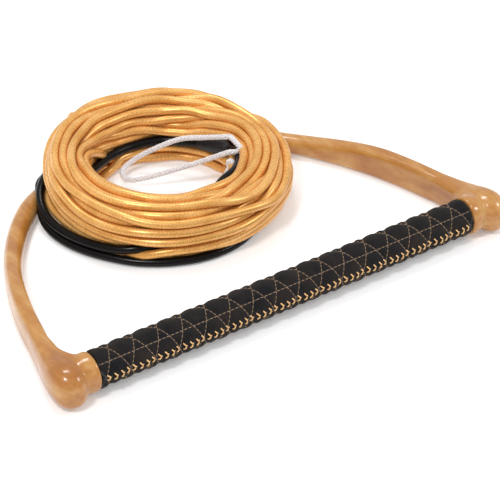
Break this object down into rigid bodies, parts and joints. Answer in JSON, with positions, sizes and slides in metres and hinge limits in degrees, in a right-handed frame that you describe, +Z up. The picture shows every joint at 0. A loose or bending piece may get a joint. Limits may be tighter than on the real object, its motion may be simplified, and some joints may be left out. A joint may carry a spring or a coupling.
{
  "type": "tow rope handle",
  "caption": "Wakeboard tow handle with a stitched suede grip, moulded bridle arms and a coiled tow line lying over the bridle.",
  "frame": {"origin": "bottom centre of the handle's own box, on the floor, without the line", "axes": "+X along the bar to the right, +Y from the bar towards the bridle's apex, +Z up"},
  "size_m": [0.3736, 0.2971, 0.0553],
  "materials": {
    "aluminium": "drawn tube, satin",
    "foam": "closed-cell float foam",
    "plug": "moulded nylon",
    "pad": "closed-cell grip foam",
    "suede": "napped synthetic suede, quilted",
    "thread": "twisted gold thread",
    "urethane": "moulded caramel-gold urethane with a soft shine",
    "gold_rope": "gold coating over a braided core, fine weave showing through",
    "black_rope": "black coating over a braided core, glossy",
    "black_rubber": "ribbed rubber",
    "white_cord": "bare white braid"
  },
  "bodies": {
    "handle": {"bar_tube": "aluminium", "float_core": "foam", "tube_plug_left": "plug", "tube_plug_right": "plug", "grip_pad": "pad", "grip_wrap": "suede", "seam_lacing": "thread", "end_moulding_left": "urethane", "end_moulding_right": "urethane", "bridle_rope": "gold_rope", "bridle_yoke": "urethane", "bridle_eye": "gold_rope"},
    "tow_rope": {"mainline_eye": "gold_rope", "eye_sleeve": "black_rubber", "mainline": "gold_rope", "takeoff_section": "black_rope", "boat_end_section": "black_rope", "end_boot": "black_rubber"},
    "boat_loop": {"boat_loop": "white_cord"}
  },
  "joints": [
    {"name": "rope_swing", "type": "hinge", "parent": "handle", "child": "tow_rope", "pos_m": [0, 0.14225, 0.0102], "axis": [-1, 0, 0], "range_deg": [0, 120]},
    {"name": "boat_loop_swing", "type": "hinge", "parent": "tow_rope", "child": "boat_loop", "pos_m": [0.05903, 0.0142, 0.02985], "axis": [0.309, 0.9481, 0.0746], "range_deg": [0, 100]}
  ]
}
